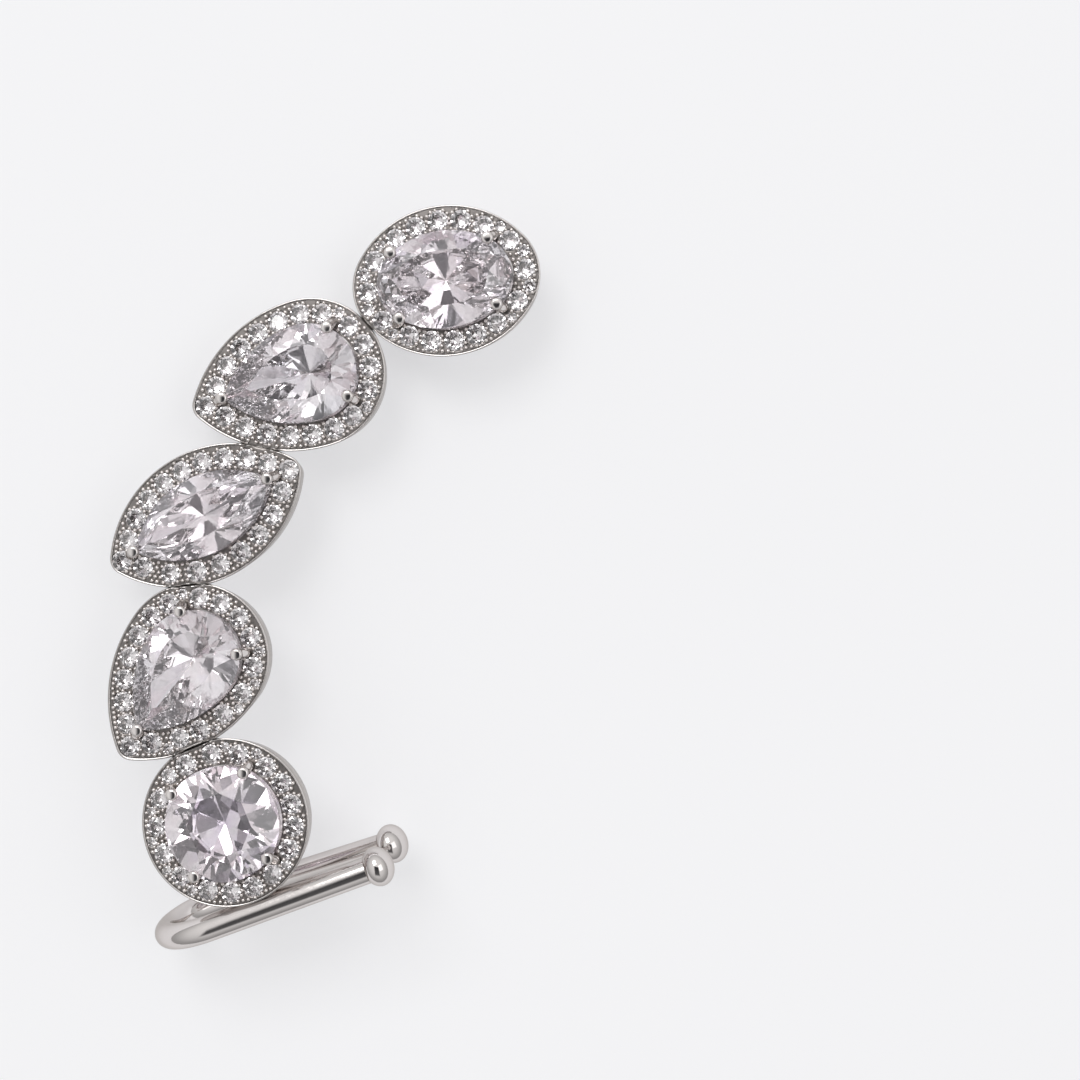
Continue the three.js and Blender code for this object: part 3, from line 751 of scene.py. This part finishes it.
# Beads of metal raised from the ground, packed into all the room between the stones
def bead_points(setting, neighbours, stones):
    grid = field_grid(setting, BEAD_GRID)
    room = open_room(setting, neighbours, grid)
    inside = room > BEAD_DIAMETER * BEAD_FROM_EDGE
    grid, room = grid[inside], room[inside]
    for x, y, _, size in stones:
        from_edge = np.hypot(grid[:, 0] - x, grid[:, 1] - y) - size * PAVE_DIAMETER / 2
        room = np.minimum(room, from_edge + BEAD_DIAMETER * BEAD_UNDER_STONE)
    beads = []
    room[room < BEAD_DIAMETER * BEAD_LEAST] = -1.0
    room = np.minimum(room, BEAD_DIAMETER / 2)
    while len(room) and room.max() > 0:
        best = int(room.argmax())
        beads.append((*grid[best], room[best] * 2 / BEAD_DIAMETER))
        room[np.linalg.norm(grid - grid[best], axis=1) < BEAD_PITCH] = -1.0
    return np.array(beads)


# Ground of a halo: a fine sheet let into the setting, with a drilled seat under each stone. Its near-black
# tone is painted shade.
def halo_ground(setting, neighbours, stones):
    cut = CUTS[setting["cut"]]
    bearings = even_bearings(cut, PAVE_LINE, GROUND_SIDES)
    offsets = np.linspace(GROUND_GAP, HALO_WIDTH - GROUND_GAP, GROUND_RINGS)
    rings = []
    for offset in offsets:
        ring = placed(setting, outline(cut, bearings, offset), 0.0)
        for x, y, _, size in stones:
            nearness = 1.0 - np.hypot(ring[:, 0] - x, ring[:, 1] - y) / (size * PAVE_DIAMETER / 2)
            seat = np.minimum(np.clip(nearness, 0.0, 1.0) * SEAT_STEEPNESS, 1.0)
            ring[:, 2] = np.minimum(ring[:, 2], -SEAT_DEPTH * size * seat)
        for other in neighbours:
            ring[rim_distance(other, ring) < -RIM_WIDTH / 2, 2] = -GROUND_SUNK
        rings.append(ring)
    floor = CLEARANCE - LEDGE_DEPTH
    for offset in (offsets[-1], offsets[0]):
        rings.append(placed(setting, outline(cut, bearings, offset), floor))
    return np.concatenate(rings), ring_faces(len(rings), len(bearings), True)


# Small brilliant for the pave
def pave_brilliant():
    reach = PAVE_DIAMETER / 2
    cut = {"width": PAVE_DIAMETER, "tip": reach, "tail": reach, "nose": 0.0, "draw": 0.0}
    inset = (PAVE_DIAMETER - PAVE_TABLE) / 2
    crown = PAVE_RISE - PAVE_GIRDLE
    return brilliant("pave_brilliant", cut, 0.0, PAVE_GIRDLE, crown, inset, PAVE_DEPTH,
                     PAVE_MAINS, PAVE_EDGE, CUT_SEED)


def metal_bead():
    work = bmesh.new()
    bmesh.ops.create_icosphere(work, subdivisions=1, radius=BEAD_DIAMETER / 2)
    piece = new_piece("metal_bead", [(0, 0, 0)], [])
    work.to_mesh(piece.data)
    work.free()
    for polygon in piece.data.polygons:
        polygon.use_smooth = True
    return piece


# Tree that stands a small shape on each of a piece's points at its own size, turned and tipped a little
def scatter_tree():
    tree = bpy.data.node_groups.new("set_on_points", "GeometryNodeTree")
    face = tree.interface
    face.new_socket("Points", in_out="INPUT", socket_type="NodeSocketGeometry")
    face.new_socket("Shape", in_out="INPUT", socket_type="NodeSocketObject")
    face.new_socket("Size spread", in_out="INPUT", socket_type="NodeSocketFloat")
    face.new_socket("Tip", in_out="INPUT", socket_type="NodeSocketFloat")
    face.new_socket("Seed", in_out="INPUT", socket_type="NodeSocketInt")
    face.new_socket("Finish", in_out="INPUT", socket_type="NodeSocketMaterial")
    face.new_socket("Stones", in_out="OUTPUT", socket_type="NodeSocketGeometry")
    start = tree.nodes.new("NodeGroupInput")
    end = tree.nodes.new("NodeGroupOutput")
    shape = tree.nodes.new("GeometryNodeObjectInfo")
    tree.links.new(start.outputs["Shape"], shape.inputs["Object"])
    spin = tree.nodes.new("FunctionNodeRandomValue")
    spin.data_type = "FLOAT_VECTOR"
    tree.links.new(start.outputs["Seed"], spin.inputs["Seed"])
    tip_low = tree.nodes.new("ShaderNodeMath")
    tip_low.operation = "MULTIPLY"
    tip_low.inputs[1].default_value = -1.0
    tree.links.new(start.outputs["Tip"], tip_low.inputs[0])
    low = tree.nodes.new("ShaderNodeCombineXYZ")
    high = tree.nodes.new("ShaderNodeCombineXYZ")
    for axis in ("X", "Y"):
        tree.links.new(tip_low.outputs[0], low.inputs[axis])
        tree.links.new(start.outputs["Tip"], high.inputs[axis])
    high.inputs["Z"].default_value = math.pi / 4
    tree.links.new(low.outputs[0], spin.inputs[0])
    tree.links.new(high.outputs[0], spin.inputs[1])
    spread_low = tree.nodes.new("ShaderNodeMath")
    spread_low.operation = "SUBTRACT"
    spread_low.inputs[0].default_value = 1.0
    tree.links.new(start.outputs["Size spread"], spread_low.inputs[1])
    size = tree.nodes.new("FunctionNodeRandomValue")
    size.data_type = "FLOAT"
    tree.links.new(spread_low.outputs[0], size.inputs[2])
    size.inputs[3].default_value = 1.0
    tree.links.new(start.outputs["Seed"], size.inputs["Seed"])
    scale = tree.nodes.new("ShaderNodeMath")
    scale.operation = "MULTIPLY"
    own_size = tree.nodes.new("GeometryNodeInputNamedAttribute")
    own_size.data_type = "FLOAT"
    own_size.inputs["Name"].default_value = "size"
    tree.links.new(own_size.outputs["Attribute"], scale.inputs[0])
    tree.links.new(size.outputs[1], scale.inputs[1])
    instances = tree.nodes.new("GeometryNodeInstanceOnPoints")
    tree.links.new(start.outputs["Points"], instances.inputs["Points"])
    tree.links.new(shape.outputs["Geometry"], instances.inputs["Instance"])
    tree.links.new(spin.outputs[0], instances.inputs["Rotation"])
    tree.links.new(scale.outputs[0], instances.inputs["Scale"])
    real = tree.nodes.new("GeometryNodeRealizeInstances")
    tree.links.new(instances.outputs[0], real.inputs[0])
    painted = tree.nodes.new("GeometryNodeSetMaterial")
    tree.links.new(real.outputs[0], painted.inputs["Geometry"])
    tree.links.new(start.outputs["Finish"], painted.inputs["Material"])
    tree.links.new(painted.outputs[0], end.inputs[0])
    return tree


def scattered(name, tree, points, values):
    seeds = new_piece(name + "_points", points[:, :3], [])
    sizes = seeds.data.attributes.new("size", "FLOAT", "POINT")
    sizes.data.foreach_set("value", points[:, 3].astype(np.float32))
    modifier = seeds.modifiers.new("scatter", "NODES")
    modifier.node_group = tree
    for item in tree.interface.items_tree:
        if item.in_out == "INPUT" and item.name in values:
            modifier[item.identifier] = values[item.name]
    bpy.context.view_layer.update()
    evaluated = seeds.evaluated_get(bpy.context.evaluated_depsgraph_get())
    surface = bpy.data.meshes.new_from_object(evaluated)
    piece = bpy.data.objects.new(name, surface)
    bpy.context.scene.collection.objects.link(piece)
    bpy.data.objects.remove(seeds)
    return piece


# Camera at the photo's angle to the row
def add_camera():
    side = math.radians(LENS_SIDE)
    target = Vector(LENS_TARGET)
    back = Vector((math.sin(side), 0.0, math.cos(side)))
    right = Vector((math.cos(side), 0.0, -math.sin(side)))
    turn = Matrix((right, Vector((0.0, 1.0, 0.0)), back)).transposed().to_4x4()
    data = bpy.data.cameras.new("camera")
    data.lens = LENS_LENGTH
    data.sensor_width = FILM_WIDTH
    data.clip_start = 0.005
    data.clip_end = 20.0
    camera = bpy.data.objects.new("camera", data)
    stand = Matrix.Translation(target + back * LENS_DISTANCE)
    camera.matrix_world = LAY @ stand @ turn @ Matrix.Scale(1 / MILLIMETRE, 4)
    bpy.context.scene.collection.objects.link(camera)
    bpy.context.scene.camera = camera


add_camera()

# Settings and clip
walls = joined_piece("setting_walls", [basket(setting) for setting in SETTINGS])
mark_seams(walls)
finish_walls(walls)
lay_down(walls, "cuff_frame", SHADED_SATIN_WALL, 40)
prongs = [prong(setting, bearing) for setting in SETTINGS for bearing in setting["prongs"]]
lay_down(joined_piece("prongs", prongs), "cuff_frame", RHODIUM, 60)
lay_down(joined_piece("clip_wire", [clip_wire()]), "cuff_frame", RHODIUM, 60)
beads = [end_bead(centre, way) for centre, way in clip_path()[2]]
lay_down(joined_piece("clip_beads", beads), "cuff_frame", RHODIUM, 60)

# Halos
tree = scatter_tree()
small_stone, bead = pave_brilliant(), metal_bead()
for number, setting in enumerate(SETTINGS):
    neighbours = [SETTINGS[i] for i in (number - 1, number + 1) if 0 <= i < len(SETTINGS)]
    node = "halo_" + setting["name"]
    full = pave_points(setting, neighbours)
    stones = np.concatenate([np.column_stack([full, np.full(len(full), PAVE_SIZE)]),
                             smaller_stones(setting, neighbours, full)])
    ground = joined_piece("ground_" + setting["name"], [halo_ground(setting, neighbours, stones)])
    mark_seams(ground)
    lay_down(ground, node, SHADED_GROUND, 50)
    field = scattered("pave_" + setting["name"], tree, stones + np.array([0.0, 0.0, PAVE_LIFT, 0.0]), {
        "Shape": small_stone, "Size spread": 0.04, "Tip": 0.07,
        "Seed": PAVE_SEED + number, "Finish": PAVE_STONE})
    lay_down(field, node, PAVE_STONE)
    beads = bead_points(setting, neighbours, stones) + np.array([0.0, 0.0, BEAD_LIFT, 0.0])
    beading = scattered("beads_" + setting["name"], tree, beads, {
        "Shape": bead, "Size spread": 0.15, "Tip": 0.5,
        "Seed": BEAD_SEED + number, "Finish": BEAD_METAL})
    lay_down(beading, node, BEAD_METAL)
for helper in (small_stone, bead):
    bpy.data.objects.remove(helper)

# Main stones
for number, setting in enumerate(SETTINGS):
    finish = SHADED_ROUND_STONE if setting["cut"] == "round" else MAIN_STONE
    lay_down(cut_stone(setting, STONE_SEED + number), "stone_" + setting["name"], finish)


# Pale floor that the cuff lies on, lit softly through from below as a light table is
def add_floor(height):
    signs = [(-1, -1), (1, -1), (1, 1), (-1, 1)]
    corners = [(x * FLOOR_REACH, y * FLOOR_REACH, height) for x, y in signs]
    floor = new_piece("floor", corners, [(0, 1, 2, 3)])
    finish, tree, shader = new_finish("white_board")
    coords = add_node(tree, "ShaderNodeTexCoord").outputs["Object"]
    cloud = noise(tree, coords, 9.0, 2.0)
    board = ramp(tree, cloud, [(0.3, (0.435, 0.435, 0.44)), (0.7, (0.455, 0.455, 0.46))])
    tree.links.new(board, shader.inputs["Base Color"])
    shader.inputs["Emission Color"].default_value = (1.0, 1.0, 1.02, 1.0)
    shader.inputs["Emission Strength"].default_value = FLOOR_GLOW
    shader.inputs["Roughness"].default_value = 0.6
    shader.inputs["Specular IOR Level"].default_value = 0.2
    floor.data.materials.append(finish)
    floor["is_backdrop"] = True


# White tent, with an opening for the lens above the row and the stand below it
def add_tent():
    world = bpy.data.worlds.new("tent")
    bpy.context.scene.world = world
    world.use_nodes = True
    tree = world.node_tree
    background = tree.nodes["Background"]
    coords = add_node(tree, "ShaderNodeTexCoord").outputs["Generated"]
    side = math.radians(LENS_SIDE)
    toward = (LAY.to_3x3() @ Vector((math.sin(side), 0.0, math.cos(side)))).normalized()
    rightward = (LAY.to_3x3() @ Vector((math.cos(side), 0.0, -math.sin(side)))).normalized()
    upward = (LAY.to_3x3() @ Vector((0.0, 1.0, 0.0))).normalized()

    # Each stop is an angle above the plane across the direction, and the light there.
    def share(direction, stops):
        node = add_node(tree, "ShaderNodeVectorMath", operation="DOT_PRODUCT")
        node.inputs[1].default_value = direction
        tree.links.new(coords, node.inputs[0])
        grey = [((math.sin(math.radians(angle)) + 1) / 2, (value,) * 3) for angle, value in stops]
        return ramp(tree, span(tree, node.outputs["Value"], -1.0, 1.0, 0.0, 1.0), grey)

    def times(one, other):
        node = add_node(tree, "ShaderNodeMix", data_type="RGBA", blend_type="MULTIPLY")
        node.inputs["Factor"].default_value = 1.0
        tree.links.new(one, node.inputs["A"])
        tree.links.new(other, node.inputs["B"])
        return node.outputs["Result"]

    across = share(rightward, [(-22, 0.0), (-15, 1.0), (15, 1.0), (22, 0.0)])
    along = share(upward, [(-52, 0.0), (-40, 0.9), (5, 1.0), (10, 0.0)])
    overhead = share(toward, [(0, 0.0), (20, 1.0)])
    opening = times(times(across, along), overhead)
    height = share(toward, [(-10, 0.4), (8, 0.5), (35, 0.85), (60, 1.0)])
    slope = share(upward, [(-60, 0.85), (0, 0.95), (50, 1.06)])
    light = times(height, slope)
    mix = add_node(tree, "ShaderNodeMix", data_type="RGBA")
    tree.links.new(opening, mix.inputs["Factor"])
    tree.links.new(light, mix.inputs["A"])
    mix.inputs["B"].default_value = OPENING_TONE
    tree.links.new(mix.outputs["Result"], background.inputs["Color"])
    background.inputs["Strength"].default_value = TENT_STRENGTH


def add_softbox(name, row_way, distance, size, power):
    data = bpy.data.lights.new(name, "AREA")
    data.shape = "SQUARE"
    data.size = size
    data.energy = power
    lamp = bpy.data.objects.new(name, data)
    middle = LAY @ Vector(LIGHT_TARGET)
    way = (LAY.to_3x3() @ Vector(row_way)).normalized()
    lamp.location = middle + way * distance
    lamp.rotation_euler = way.to_track_quat("Z", "Y").to_euler()
    bpy.context.scene.collection.objects.link(lamp)


add_floor(min(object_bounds()[0][2], 0.0))
add_tent()
add_softbox("softbox_top", (-0.25, 0.7, 1.3), 0.7, 0.3, 1.4)
add_softbox("softbox_right", (1.0, 0.1, 1.2), 0.7, 0.4, 0.35)
bpy.context.scene.view_settings.view_transform = "Standard"
bpy.context.scene.cycles.glossy_bounces = 12
bpy.context.scene.cycles.transmission_bounces = 16
bpy.context.scene.cycles.max_bounces = 20
